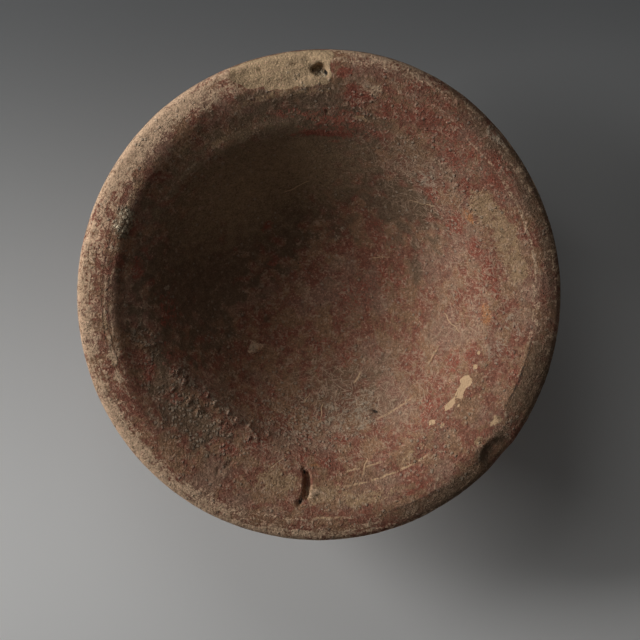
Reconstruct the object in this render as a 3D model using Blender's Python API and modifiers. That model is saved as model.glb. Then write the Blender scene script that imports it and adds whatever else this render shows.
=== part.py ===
"""A worn, red-slipped earthenware bowl with a thick rolled lip, made by hand and a little uneven.

The bowl stands on its flat base with its mouth up. The origin is the middle of the base, +Z is up, and +Y
is the side of the lip with the long spall. Sizes are in millimetres, and the mesh is made in metres.
Angles are in degrees, anticlockwise from +X seen from above.
"""

import math

import bpy
import numpy as np

METRES = 0.001

# Driving sizes
RIM_RADIUS = 75.0  # axis to the outermost point of the lip
HEIGHT = 42.0  # base to the top of the lip
BASE_RADIUS = 28.0  # flat that the bowl stands on
FOOT_ROUNDING = 2.5  # worn edge between the base and the wall
FLOOR_THICKNESS = 9.0  # clay under the middle of the inside
FLOOR_RADIUS = 17.0  # nearly level middle of the inside
FLOOR_RISE = 0.9  # middle of the inside up to the edge of that level part
WALL_THICKNESS = 7.5  # square to the wall, at the ridge and at the inner edge of the lip
RIDGE_RADIUS = 52.0  # axis to the worn ridge where the hollow ends
RIDGE_DROP = 6.2  # top of the lip down to the ridge
RIDGE_WIDTH = 6.0  # rounded top of the ridge
LIP_WIDTH = 8.3  # inner edge of the lip to its outermost point
LIP_EDGE_DROP = 0.35  # top of the lip down to its inner edge
LIP_EDGE_WIDTH = 2.8  # inner edge of the lip to its highest line
LIP_FACE_WIDTH = 3.8  # nearly level face of the lip, outwards from its highest line
LIP_FACE_DROP = 0.45  # how far that face falls
LIP_DEPTH = 6.2  # top of the lip down to its outermost point

# Headings of the profile where its curves meet, in degrees, 0 outwards and 90 up
FLOOR_HEADING = 7.0
WALL_HEADING = 49.0
SHELF_HEADING = 21.0
LIP_EDGE_HEADING = 14.0
LIP_FACE_HEADING = -14.0
UNDER_LIP_HEADING = -172.0
OUTER_WALL_HEADING = -128.0
FOOT_HEADING = -138.0

# Unevenness of the hand-made form
OVAL = 0.012  # the mouth is this share wider along Y than its mean, and narrower along X
SWELL = (66.0, 24.0, 0.9)  # angle, half width in degrees and size of an outward swelling of the lip
RIM_WAVES = ((2, 40.0, 0.35), (3, 200.0, 0.25), (5, 95.0, 0.15))  # waves around, angle of a crest, height
RIDGE_SHIFTS = ((232.0, 34.0, -4.5), (290.0, 20.0, 2.5), (150.0, 35.0, 1.5))  # angle, half width, outwards
RIDGE_REACH = 15.0  # how far from the ridge its unevenness fades out
LIP_SHIFTS = ((180.0, 42.0, -3.0),)  # the same for the inner edge of the lip
LIP_REACH = 7.5
FADE_POWER = 2.0  # unevenness of the lip grows with this power of the radius or height

# Worn places: angle, share of the rim's radius, length around, width across, depth
SPALL = (99.8, 0.955, 33.0, 17.0, 1.3)
LIP_CHIP = (319.0, 0.975, 14.0, 11.0, 1.0)
SIDE_CHIP = (163.0, 0.99, 10.0, 8.0, 0.7)
WORN_PLACES = (SPALL, LIP_CHIP, SIDE_CHIP)
SHOULDER = 0.45  # share of a worn place's size over which it falls to its full depth

# Cut places: angle, share of the rim's radius, length around, width across, depth, turn in degrees
GOUGE = (266.3, 0.783, 2.6, 9.0, 2.4, 0.0)
LIP_PIT = (89.7, 0.925, 4.6, 4.4, 2.6, 0.0)
CUT_PLACES = {"gouge_cutter": GOUGE, "lip_pit_cutter": LIP_PIT}

# Resolution of the solid
CUTTER_STEPS = 2  # subdivisions of a cutter's ball
TURN_STEPS = 90
MERGE_DISTANCE = 0.00005  # metres

CLAY_COLOUR = (0.165, 0.067, 0.043, 1.0)
CLAY_ROUGHNESS = 0.85


def clear_objects():
    for thing in list(bpy.data.objects):
        bpy.data.objects.remove(thing, do_unlink=True)


def new_collection(name):
    collection = bpy.data.collections.new(name)
    bpy.context.scene.collection.children.link(collection)
    return collection


def clay_material():
    material = bpy.data.materials.new("red_slip_earthenware")
    material.use_nodes = True
    shader = material.node_tree.nodes["Principled BSDF"]
    shader.inputs["Base Color"].default_value = CLAY_COLOUR
    shader.inputs["Roughness"].default_value = CLAY_ROUGHNESS
    shader.inputs["Metallic"].default_value = 0.0
    return material


def through_the_wall(radius, height, heading):
    """The point of the outer side that lies square across the wall from a point of the inner side."""
    square = math.radians(heading - 90.0)
    return radius + WALL_THICKNESS * math.cos(square), height + WALL_THICKNESS * math.sin(square)


def stations():
    """Where the profile's curves meet, as radius, height, heading and the number of points up to it.

    The profile starts in the middle of the inside, climbs to the lip and runs down the outer side.
    """
    ridge_height = HEIGHT - RIDGE_DROP
    half_ridge = RIDGE_WIDTH / 2
    inner_ridge = (
        RIDGE_RADIUS - half_ridge,
        ridge_height - half_ridge * math.tan(math.radians(WALL_HEADING)),
    )
    outer_ridge = (
        RIDGE_RADIUS + half_ridge,
        ridge_height + half_ridge * math.tan(math.radians(SHELF_HEADING)),
    )
    lip_edge = (RIM_RADIUS - LIP_WIDTH, HEIGHT - LIP_EDGE_DROP)
    lip_top = lip_edge[0] + LIP_EDGE_WIDTH
    under_lip = through_the_wall(*lip_edge, SHELF_HEADING)
    under_ridge = through_the_wall(*inner_ridge, WALL_HEADING)
    return (
        (0.0, FLOOR_THICKNESS, 0.0, 1),
        (FLOOR_RADIUS, FLOOR_THICKNESS + FLOOR_RISE, FLOOR_HEADING, 3),
        (*inner_ridge, WALL_HEADING, 8),
        (*outer_ridge, SHELF_HEADING, 3),
        (*lip_edge, LIP_EDGE_HEADING, 3),
        (lip_top, HEIGHT, 0.0, 2),
        (lip_top + LIP_FACE_WIDTH, HEIGHT - LIP_FACE_DROP, LIP_FACE_HEADING, 2),
        (RIM_RADIUS, HEIGHT - LIP_DEPTH, -90.0, 4),
        (*under_lip, UNDER_LIP_HEADING, 4),
        (*under_ridge, OUTER_WALL_HEADING, 4),
        (BASE_RADIUS + FOOT_ROUNDING, FOOT_ROUNDING, FOOT_HEADING, 5),
        (BASE_RADIUS, 0.0, -180.0, 2),
        (0.0, 0.0, -180.0, 4),
    )


def curve_between(start, end, steps):
    """Points after start up to end on a curve that keeps both headings, and is an arc where it can be."""
    (x0, z0, heading0, _), (x1, z1, heading1, _) = start, end
    turn = math.radians(heading1 - heading0)
    reach = math.dist((x0, z0), (x1, z1)) / math.cos(turn / 4) ** 2
    t = np.arange(1, steps + 1)[:, None] / steps
    leave = reach * np.array([math.cos(math.radians(heading0)), math.sin(math.radians(heading0))])
    arrive = reach * np.array([math.cos(math.radians(heading1)), math.sin(math.radians(heading1))])
    return (
        (2 * t**3 - 3 * t**2 + 1) * np.array([x0, z0])
        + (t**3 - 2 * t**2 + t) * leave
        + (3 * t**2 - 2 * t**3) * np.array([x1, z1])
        + (t**3 - t**2) * arrive
    )


def bowl_profile():
    """The profile's points in millimetres, and how many of them lie before the lip's outermost point."""
    meets = stations()
    runs = [np.array([meets[0][:2]])]
    for start, end in zip(meets, meets[1:]):
        runs.append(curve_between(start, end, end[3]))
    points = np.vstack(runs)
    return points, int(np.argmax(points[:, 0])) + 1


def turned_mesh(profile):
    """The profile turned about the axis, as a mesh of its own."""
    guide_mesh = bpy.data.meshes.new("profile")
    corners = [(radius * METRES, 0.0, height * METRES) for radius, height in profile]
    edges = [(i, i + 1) for i in range(len(corners) - 1)]
    guide_mesh.from_pydata(corners, edges, [])
    guide = bpy.data.objects.new("profile", guide_mesh)
    bpy.context.scene.collection.objects.link(guide)
    screw = guide.modifiers.new("turn", "SCREW")
    screw.axis = "Z"
    screw.angle = 2 * math.pi
    screw.steps = TURN_STEPS
    screw.render_steps = TURN_STEPS
    screw.use_merge_vertices = True
    screw.merge_threshold = MERGE_DISTANCE
    evaluated = guide.evaluated_get(bpy.context.evaluated_depsgraph_get())
    mesh = bpy.data.meshes.new_from_object(evaluated)
    bpy.data.objects.remove(guide, do_unlink=True)
    return mesh


def degrees_between(angles, middle):
    """Signed differences from an angle, between -180 and 180."""
    return (angles - middle + 180.0) % 360.0 - 180.0


def smooth_share(values):
    """0 below 0, 1 above 1, and a smooth rise between them."""
    t = np.clip(values, 0.0, 1.0)
    return t * t * (3 - 2 * t)


def bell(angles, middle, half_width):
    return np.exp(-((degrees_between(angles, middle) / half_width) ** 2))


def surface_place(upper, share):
    """Radius, height and outward direction of the upper side at a share of the rim's radius."""
    radius = share * RIM_RADIUS
    height = np.interp(radius, upper[:, 0], upper[:, 1])
    lean = np.interp(radius, upper[:, 0], np.gradient(upper[:, 1], upper[:, 0]))
    length = math.hypot(1.0, lean)
    return radius, height, (-lean / length, 1.0 / length)


def ring_shift(angles, radii, shifts, circle, reach):
    """How far a line of the form wanders from its circle, fading out to both sides of it."""
    wander = sum(size * bell(angles, middle, width) for middle, width, size in shifts)
    return wander * (1.0 - smooth_share(np.abs(radii - circle) / reach))


def mouth_stretch(angles, radii):
    """Share by which a radius grows, for the oval mouth and the swelling of the lip."""
    middle, width, size = SWELL
    around = -OVAL * np.cos(np.radians(2 * angles)) + size / RIM_RADIUS * bell(angles, middle, width)
    return around * (radii / RIM_RADIUS) ** FADE_POWER


def rim_wave(angles, heights):
    wave = sum(size * np.cos(np.radians(count * (angles - crest))) for count, crest, size in RIM_WAVES)
    return wave * (np.clip(heights, 0.0, None) / HEIGHT) ** FADE_POWER


def worn_depth(place, upper, angles, radii, heights):
    """Depth of one worn place at each point, and the direction it is worn from."""
    angle, share, length, width, depth = place
    radius, height, outward = surface_place(upper, share)
    around = np.radians(degrees_between(angles, angle)) * radius / (length / 2)
    across = np.hypot(radii - radius, heights - height) / (width / 2)
    return depth * smooth_share((1.0 - np.hypot(around, across)) / SHOULDER), outward


def shaped_by_hand(points, upper):
    """Moves points of the true turned form, in millimetres, to the worn and uneven form."""
    x, y, z = points.T
    radii = np.hypot(x, y)
    angles = np.degrees(np.arctan2(y, x)) % 360.0
    moved_radii = radii.copy()
    moved_heights = z.copy()
    for place in WORN_PLACES:
        depth, (out_r, out_z) = worn_depth(place, upper, angles, radii, z)
        moved_radii -= depth * out_r
        moved_heights -= depth * out_z
    moved_radii += ring_shift(angles, radii, RIDGE_SHIFTS, RIDGE_RADIUS, RIDGE_REACH)
    moved_radii += ring_shift(angles, radii, LIP_SHIFTS, RIM_RADIUS - LIP_WIDTH, LIP_REACH)
    moved_radii *= 1.0 + mouth_stretch(angles, radii)
    moved_heights += rim_wave(angles, z)
    turn = np.radians(angles)
    return np.column_stack((moved_radii * np.cos(turn), moved_radii * np.sin(turn), moved_heights))


def shape_mesh(mesh, upper):
    flat = np.empty(len(mesh.vertices) * 3, dtype=np.float32)
    mesh.vertices.foreach_get("co", flat)
    points = flat.reshape(-1, 3).astype(float) / METRES
    mesh.vertices.foreach_set("co", (shaped_by_hand(points, upper) * METRES).astype(np.float32).ravel())
    mesh.update()


def make_cutter(name, place, upper, collection):
    """A ball stretched to the size of a cut place, with its middle at the surface."""
    angle, share, length, width, depth, twist = place
    radius, height, outward = surface_place(upper, share)
    turn = math.radians(angle)
    turned_place = np.array([[radius * math.cos(turn), radius * math.sin(turn), height]])
    centre = shaped_by_hand(turned_place, upper)[0]
    bpy.ops.mesh.primitive_ico_sphere_add(subdivisions=CUTTER_STEPS, radius=METRES)
    cutter = bpy.context.object
    cutter.name = name
    cutter.scale = (length / 2, width / 2, depth)
    cutter.rotation_mode = "XYZ"
    lean = math.atan2(outward[0], outward[1])
    cutter.rotation_euler = (-lean, 0.0, math.radians(angle - 90.0 + twist))
    cutter.location = centre * METRES
    cutter.hide_render = True
    cutter.display_type = "WIRE"
    for home in list(cutter.users_collection):
        home.objects.unlink(cutter)
    collection.objects.link(cutter)
    return cutter


def build_bowl():
    bowl_collection = new_collection("pottery_bowl")
    cutters = new_collection("cutters")
    profile, upper_count = bowl_profile()
    upper = profile[:upper_count]
    mesh = turned_mesh(profile)
    shape_mesh(mesh, upper)
    mesh.name = "bowl"
    mesh.materials.clear()
    mesh.materials.append(clay_material())
    mesh.shade_smooth()
    bowl = bpy.data.objects.new("bowl", mesh)
    bowl_collection.objects.link(bowl)
    for name, place in CUT_PLACES.items():
        cut = bowl.modifiers.new(name, "BOOLEAN")
        cut.operation = "DIFFERENCE"
        cut.solver = "EXACT"
        cut.object = make_cutter(name, place, upper, cutters)


clear_objects()
build_bowl()
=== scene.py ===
"""The worn red-slipped bowl, dressed: its fine surface, its slip, clay and dirt, and the studio around it.

The bowl stands on its base with its mouth up, +Y towards the side of the lip with the long spall. Sizes are
in millimetres unless a name says otherwise, and the mesh is made in metres. Angles are in degrees,
anticlockwise from +X seen from above. A place on the bowl is an angle and a distance from the axis, both as
seen from above.
"""

import math
import random
from collections import namedtuple

import bpy
import numpy as np
from mathutils import Matrix, Vector, noise


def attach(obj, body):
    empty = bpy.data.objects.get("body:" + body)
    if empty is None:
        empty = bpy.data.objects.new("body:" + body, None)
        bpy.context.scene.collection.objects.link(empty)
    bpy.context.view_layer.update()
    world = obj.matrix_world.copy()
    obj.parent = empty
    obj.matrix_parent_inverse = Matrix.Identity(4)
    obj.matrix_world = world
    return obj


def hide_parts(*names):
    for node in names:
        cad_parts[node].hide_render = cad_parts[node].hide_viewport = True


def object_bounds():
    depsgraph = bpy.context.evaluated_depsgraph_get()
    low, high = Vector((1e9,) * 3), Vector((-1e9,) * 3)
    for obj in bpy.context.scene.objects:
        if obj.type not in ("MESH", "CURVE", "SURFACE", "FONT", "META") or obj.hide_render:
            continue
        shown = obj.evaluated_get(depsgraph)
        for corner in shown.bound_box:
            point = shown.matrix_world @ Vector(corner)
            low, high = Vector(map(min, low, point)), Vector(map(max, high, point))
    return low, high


METRES = 0.001

# The bowl's form, as in the model's source
RIM_RADIUS = 75.0
HEIGHT = 42.0
BASE_RADIUS = 28.0
FOOT_ROUNDING = 2.5
FLOOR_THICKNESS = 9.0
FLOOR_RADIUS = 17.0
FLOOR_RISE = 0.9
WALL_THICKNESS = 7.5
RIDGE_RADIUS = 52.0
RIDGE_DROP = 6.2
RIDGE_WIDTH = 6.0
LIP_WIDTH = 8.3
LIP_EDGE_DROP = 0.35
LIP_EDGE_WIDTH = 2.8
LIP_FACE_WIDTH = 3.8
LIP_FACE_DROP = 0.45
LIP_DEPTH = 6.2
FLOOR_HEADING = 7.0
WALL_HEADING = 49.0
SHELF_HEADING = 21.0
LIP_EDGE_HEADING = 14.0
LIP_FACE_HEADING = -14.0
UNDER_LIP_HEADING = -172.0
OUTER_WALL_HEADING = -128.0
FOOT_HEADING = -138.0
OVAL = 0.012  # share by which the mouth is wider along Y, and narrower along X
SWELL = (66.0, 24.0, 0.9)  # angle, half width in degrees and size of an outward swelling of the lip
RIM_WAVES = ((2, 40.0, 0.35), (3, 200.0, 0.25), (5, 95.0, 0.15))  # waves around, angle of a crest, height
RIDGE_SHIFTS = ((232.0, 34.0, -4.5), (290.0, 20.0, 2.5), (150.0, 35.0, 1.5))  # angle, half width, outwards
RIDGE_REACH = 15.0  # distance from the ridge at which its shifts have faded out
LIP_SHIFTS = ((180.0, 42.0, -3.0),)  # the same for the inner edge of the lip
LIP_REACH = 7.5
FADE_POWER = 2.0  # how soon the unevenness of the mouth fades towards the axis and the base

# Worn places: angle, share of the rim's radius, length around, width across, depth
SPALL = (99.8, 0.955, 33.0, 17.0, 1.3)
LIP_CHIP = (319.0, 0.975, 14.0, 11.0, 1.0)
SIDE_CHIP = (163.0, 0.99, 10.0, 8.0, 0.7)
WORN_PLACES = (SPALL, LIP_CHIP, SIDE_CHIP)
SHOULDER = 0.45  # share of a worn place's half width over which it deepens

# Cut places, in the same terms and with a turn
GOUGE = (266.3, 0.783, 2.6, 9.0, 2.4, 0.0)
LIP_PIT = (89.7, 0.925, 4.6, 4.4, 2.6, 0.0)
CUT_PLACES = (GOUGE, LIP_PIT)

# The fine mesh: segments around, and the spacing of its rings
AROUND = 720
FLOOR_RING = 0.95
WALL_RING = 0.65
LIP_RING = 0.5
OUTER_RING = 1.8
BASE_RING = 4.0
AXIS_REACH = 0.001  # a ring this near to the axis is one point
LIP_RINGS_BELOW = 3  # rings past the outermost one that still have all the segments
CENTRE_ZONE = 10.0  # inside this radius a ring has a quarter of the segments
HOLLOW_ZONE = 30.0  # and inside this one half of them

# Fine unevenness all over: width and height of its swells
UNDULATIONS = ((18.0, 0.10), (6.5, 0.07), (2.4, 0.045))
RELIEF_MARGIN = 0.1  # the fine surface lies this much inside the turned form on average

# Noises over the surface: width of the swells, and a number that makes each noise another one
ROUGH_SWELLS = (1.6, 11)
COARSE_SWELLS = (4.0, 12)
GRAIN_SWELLS = (1.3, 13)
RAGGED_SWELLS = (2.8, 21)
NOISE_START = Vector((17.3, -9.1, 4.7))

# Relief of some kinds of surface: its level, and the heights of its rough and its coarse swells
SPALL_RELIEF = (-0.25, 0.12, 0.10)
BROKEN_RELIEF = (-0.18, 0.16, 0.0)
CRUMBLY_RELIEF = (0.0, 0.0, 0.08)
CRUST_RELIEF = (0.0, 0.22, 0.0)
FLAKED_RELIEF = (-0.12, 0.0, 0.0)
GRAIN_RISE = 0.45  # height of the grains between the crumbs
GRAIN_START = 0.1  # value of their noise above which they rise

# How ragged the edges of pits, lumps and crumbs are, and how steep lumps and crumbs are
PIT_RAGGEDNESS = 0.25
LUMP_RAGGEDNESS = 0.3
CRUMB_RAGGEDNESS = 0.2
LUMP_STEEPNESS = 1.3
CRUMB_STEEPNESS = 1.5

# Edges of the patches, the spall, and the dirt and painted shade in pits, as shares of a place's half width
PATCH_REACH = 1.25
PATCH_RAGGEDNESS = 0.35
SPALL_RAGGEDNESS = 0.10
SPALL_EDGE = 0.06
SHADE_AND_DIRT_REACH = 1.05
SHADE_AND_DIRT_EDGE = 0.6

SOIL_AND_SHADE_RAGGEDNESS = 2.0  # how many times more ragged soil, with its painted shade, and crumbs are than other patches
CREAM_RAGGEDNESS = 0.8
# Share of dirt and painted shade in the gouge
GOUGE_SHADE_AND_DIRT = 0.5
OUTSIDE_SOIL = 0.5
CRUMB_COLOUR_STRENGTH = 1.2
CRUMB_COLOUR_STEEPNESS = 1.6

# Small pits and slots: angle, radius, length around, width across, turn if there is one, depth
PITS = (
    (104.3, 72.4, 1.2, 1.9, 30, 0.6),
    (88.3, 69.3, 1.5, 2.4, 15, 1.2),
    (91.6, 70, 1.1, 3, 0.9),
    (95.8, 72.3, 2.6, 1.1, -10, 0.6),
    (87.7, 57.3, 1.3, 1.3, 0.5),
    (294.9, 41.6, 2.6, 1.3, -35, 0.9),
    (293.4, 41.9, 1.8, 1, 20, 0.6),
    (241.4, 58.8, 1.2, 3.2, -25, 0.5),
    (239.7, 62.3, 1, 2.2, 20, 0.4),
    (230.6, 59.3, 2.2, 1, 35, 0.3),
    (264.8, 63.4, 1.6, 3.2, -30, 0.9),
    (265.2, 54.6, 1.2, 2.6, 20, 0.8),
    (241.2, 33.4, 1.2, 1.2, 0.5),
    (212.5, 36.9, 1, 3, 30, 0.4),
    (187, 70.5, 1.6, 1.3, 0.4),
)

# The bare clay of the spall: angle, radius, length around, width across, and how square its outline is
SPALL_FACES = ((95.9, 71.8, 23.8, 13.4, 4), (105, 73.5, 17, 13, 2))

# Lumps of hard soil and lime, in the same terms, and height
LUMPS = (
    (223.7, 28, 4.4, 3.6, 1.3),
    (158.6, 64, 9.4, 6.4, 0.90),
    (211, 49, 5, 1.8, 20, 0.40),
    (221, 46, 4.4, 1.8, -10, 0.45),
    (226, 46.2, 3, 2, 0.55),
    (231, 45.8, 3.6, 1.6, 15, 0.45),
    (237.5, 46.2, 4, 2, 0.50),
    (243.5, 47, 4.6, 1.8, -15, 0.50),
    (268.2, 61.3, 6.2, 1.8, 38, 0.60),
    (265.5, 57.4, 1.1, 1.8, 20, 0.90),
    (267.2, 60.2, 1.2, 2, -15, 1.10),
    (265.9, 62, 1, 1.4, 0.80),
    (181.9, 59.5, 1.2, 1.2, 0.25),
    (177.5, 47.1, 1.2, 1.2, 0.25),
    (163.1, 71.9, 1.6, 1.2, 0.25),
)

# Lines of crumbs that stand up from the surface: angles and radii of their bends, and how many crumbs
CRUMB_LINES = (
    ((180, 207), (59.6, 51), 18),
    ((207, 214, 221, 230, 242, 252), (50.5, 47.8, 45.6, 45.6, 46.7, 49), 60),
    ((210, 222, 236), (53.5, 50.5, 50), 30),
)
CRUMB_WIDTHS = (0.7, 1.5)
CRUMB_RISES = (0.20, 0.50)
CRUMB_SPREAD = 1.0
CRUMB_SEED = 7

# Soft patches on the upper side, in the same terms, and strength
RED_PATCHES = (
    (88, 50.4, 22, 2.8, 1.3),
    (71, 53.4, 6, 2.6, 0.8),
    (79.6, 63.4, 10, 8, 1.3),
    (83.5, 70.2, 6, 5, 1.2),
    (70, 62, 14, 8, 0.8),
    (47, 59.7, 14, 8, 0.8),
    (36, 56.9, 11, 7, 20, 1.2),
    (42, 47, 8, 6, 0.8),
    (27.9, 47.5, 9, 7, 1.1),
    (17.5, 50, 9, 5, 1.2),
    (18.3, 57.6, 3.2, 2.2, 1),
    (12.5, 62.2, 3, 2, 1),
    (9, 52.8, 9, 6, 1.3),
    (3, 54.2, 7, 3.6, 1.1),
    (359.7, 43.9, 5, 4, 0.7),
    (344.6, 61.4, 5, 4, 0.8),
    (338.5, 50.1, 6, 3.4, 1),
    (332.7, 46.5, 8, 6, 0.9),
    (340, 64, 8, 3, 0.7),
    (316.3, 48.9, 16, 7, 0.7),
    (55, 64, 44, 16, 0.65),
    (36, 66, 24, 12, 0.6),
    (84, 54, 26, 14, 0.55),
    (101, 58, 14, 5, 0.5),
    (62, 71, 32, 8, 0.55),
    (338, 11, 16, 16, 0.5),
    (5.7, 22, 14, 18, 0.45),
    (40, 26, 18, 9, 0.4),
    (272, 19.2, 9, 8, 0.6),
    (234, 18.3, 8, 6, 0.6),
    (270.2, 27.8, 3, 4, 0.8),
    (290.4, 25.1, 8, 6, 0.6),
    (264.6, 45.3, 5.6, 4.2, 0.9),
    (278.1, 46.5, 8, 4, 0.8),
    (271, 52, 7, 3, 1),
    (264, 50.9, 5, 2.8, 1),
    (239, 54.6, 9, 6, 0.8),
    (247.8, 49.5, 9, 6, 0.8),
    (296.7, 66, 11, 3, 0.8),
    (171.2, 56.5, 9, 5, 0.8),
    (201.8, 57.1, 10, 6, 0.8),
    (203.1, 50, 12, 4, 0.6),
    (186, 47, 12, 7, 0.5),
    (215, 54, 8, 5, 0.6),
    (131.2, 25, 5, 3, 0.8),
    (151.5, 16.5, 5, 3, 0.8),
)
TAN_PATCHES = (
    (29.5, 57.8, 13, 9, 1.3),
    (20, 60, 16, 9, 1.4),
    (10, 61.4, 15, 7, 1.2),
    (269, 61.3, 9, 5, 35, 1.4),
    (270.3, 61, 14, 6, 1),
    (256.8, 58.5, 18, 9, 0.9),
    (282, 64, 22, 5, 0.8),
    (76.8, 56.7, 7, 1.6, 0.7),
    (123.2, 56.8, 9, 2.4, 0.7),
    (325.7, 66.2, 4, 3, 0.9),
    (318.6, 66, 4, 3, 0.9),
    (186.2, 65.8, 7, 2.6, 0.9),
    (197.3, 65.5, 7, 2.6, 0.9),
    (150, 65, 14, 4, 0.5),
    (130, 62, 16, 5, 0.4),
    (300, 57, 14, 5, 0.4),
    (105, 64, 20, 2.4, 0.6),
    (92, 63.8, 12, 2, 0.6),
)
# Soil film; the broad patches at 94, 125 and 170 degrees also paint shade onto the walls that lie in shade
SOIL_AND_SHADE_PATCHES = (
    (125, 34, 84, 60, 1.1),
    (170, 38, 60, 46, 1.3),
    (94, 50, 60, 40, 1.1),
    (200, 36, 50, 26, 0.6),
    (283, 34, 40, 30, 0.6),
    (10.8, 30.7, 14, 5, 0.8),
    (48, 36, 34, 24, 1),
    (58, 52, 44, 18, 0.5),
    (201, 52, 18, 10, 0.9),
    (222, 55, 44, 16, 0.9),
    (319, 70, 36, 6, 0.9),
    (44, 73.6, 18, 5, 0.6),
)
OLIVE_PATCHES = (
    (99, 39, 40, 34, 0.80),
    (126, 41, 58, 40, 0.78),
)
LIME_PATCHES = (
    (47.3, 48.7, 9, 6, 0.5),
    (262, 44.5, 12, 6, 0.5),
    (285, 40, 24, 14, 0.4),
    (228, 45.6, 24, 3, 0.7),
    (208, 47.5, 14, 3, 0.6),
    (42.9, 73.4, 10, 3, 0.7),
    (163.1, 71.9, 2.4, 2, 1),
    (181.9, 59.5, 1.8, 1.8, 1),
    (177.5, 47.1, 1.6, 1.6, 1),
    (352, 60, 9, 6, 0.4),
    (343, 57, 10, 5, 0.4),
)
CREAM_PATCHES = (
    (327.5, 52.6, 9.6, 2.9, 1.3),
    (330, 52.5, 4.6, 3.8, 1.3),
    (325.2, 52.9, 3.8, 3.4, 1.2),
    (336, 52.7, 2.2, 2, 1),
    (320.4, 52.6, 6.4, 2, 1.1),
    (311.7, 52.5, 2.6, 1.9, 1),
    (340.5, 52.3, 1.8, 1.5, 0.9),
    (321.8, 54.7, 2.4, 1.1, 0.9),
    (313.8, 55.2, 4, 0.9, 0.8),
    (324.8, 65.8, 5.3, 2.1, 0.8),
)
ORANGE_PATCHES = (
    (353.5, 52, 9, 3.6, 1),
    (28.7, 52.3, 6, 2.6, 0.9),
    (268.6, 52.6, 4, 1.6, 0.8),
)
CRUST_PATCHES = ((158.6, 64, 12, 8, 1), (89.8, 69.6, 4.2, 4.4, 1))
CRUMB_PATCHES = (
    (209.5, 49.2, 9, 4, 0.8),
    (226, 46.3, 22, 3.6, 1),
    (243, 45.4, 14, 3.4, 0.9),
    (224, 55, 34, 14, 0.6),
    (262, 42, 34, 16, 0.6),
    (196, 55, 16, 10, 0.5),
    (38, 52, 34, 18, 0.22),
    (76, 62, 20, 12, 0.22),
    (308, 60, 40, 10, 0.2),
)
FIBRE_PATCHES = (
    (285, 36, 60, 40, 1),
    (250, 46, 50, 26, 0.8),
    (315, 44, 50, 26, 0.8),
    (0, 48, 60, 34, 0.8),
    (45, 46, 50, 30, 0.8),
    (265, 64, 60, 12, 0.5),
)

# Places rubbed down to the clay, in the same terms. The first, on the lump at 223.7 degrees, is partly
# painted light: its pale top stands in for the light it catches.
RUBBED_AND_LIT_PATCHES = (
    # pale top of the lump: partly rubbed clay, partly painted light
    (223.7, 28, 5.6, 4.6, 1.8),
    (268.6, 61, 6.4, 2.2, 38, 1.2),
    (270, 60.4, 3, 3, 0.8),
    (195, 65.6, 5, 2.6, 1.1),
    (201, 66, 7, 2.4, 1),
    (119, 69, 16, 4, 0.7),
    (76, 66.5, 9, 4, 0.6),
    (80.5, 61, 7, 1.8, 20, 0.7),
)

# Masks made of patches: their places, how ragged they are, and whether they keep off the spall
PATCH_MASKS = {
    "red": (RED_PATCHES, 1, True),
    "tan": (TAN_PATCHES, 1, True),
    "olive": (OLIVE_PATCHES, 1, True),
    "lime": (LIME_PATCHES, 1, False),
    "cream": (CREAM_PATCHES, CREAM_RAGGEDNESS, False),
    "crust": (CRUST_PATCHES, 1, False),
    "orange": (ORANGE_PATCHES, 1, False),
    "fibres": (FIBRE_PATCHES, 1, False),
}

# Worn pale lines along the lip's inner edge: angle, half width in degrees, radius, half width, strength
WORN_LIP_LINES = (
    (22, 26, 66.8, 0.50, 0.9),
    (356, 16, 65.8, 0.40, 0.7),
    (180, 30, 65.3, 0.45, 0.8),
    (180, 26, 63.7, 0.4, 0.7),
    (262, 22, 69, 0.6, 0.6),
    (60, 26, 68.6, 0.6, 0.2),
)
# Lip worn down to the clay: angle, half width in degrees, radius where it starts, reach, strength
WORN_LIP_EDGES = (
    (176, 42, 65, 7, 0.85),
    (136, 28, 66.5, 4.5, 1.25),
    (222, 32, 67.5, 4.5, 1.15),
    (262, 28, 70.6, 2.5, 0.9),
    (78, 20, 72, 2.5, 0.7),
    (15, 35, 70, 3, 0.4),
)
# Lip broken and darkened with soil, in the same terms
BROKEN_LIP_EDGES = ((339, 16, 66.2, 0.8, 0.9), (304, 18, 69, 1.6, 0.9))
SOILED_LIP_EDGES = ((28, 46, 67.5, 3, 0.65), (92, 16, 74, 1, 0.3))

# Circular lines: radius, half width, middle angle, half its length in degrees, strength
PALE_RING_LINES = (
    (59.4, 0.24, 291.4, 15.2, 0.9),
    (55.2, 0.2, 284.7, 6.8, 0.8),
    (44, 0.25, 303.5, 10, 0.6),
    (41, 0.2, 331, 5.5, 0.7),
    (68.2, 0.25, 272.5, 3.8, 0.9),
)
DARK_RING_LINES = (
    (66.2, 0.34, 339, 11, 0.8),
    (69.5, 0.24, 294, 9, 0.6),
    (51.2, 0.3, 317, 5, 0.4),
    (41.5, 0.18, 331, 5, 0.5),
    (66.3, 0.22, 176, 18, 0.6),
    (64.5, 0.22, 182, 18, 0.6),
)

# Pale scratches: angle and radius of one end, angle and radius of the other, half width
SCRATCHES = (
    (289, 32.2, 297.7, 30, 0.16),
    (46.3, 39.4, 36.8, 45.3, 0.14),
    (28, 18.2, 21.5, 25, 0.12),
    (112.2, 32.3, 93.1, 34.2, 0.14),
    (287, 52.5, 283, 58.5, 0.13),
    (272, 36, 270.5, 42, 0.13),
    (266, 33, 262, 37, 0.12),
    (344, 46, 350, 38.5, 0.12),
    (259, 50, 254, 56, 0.12),
)

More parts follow.
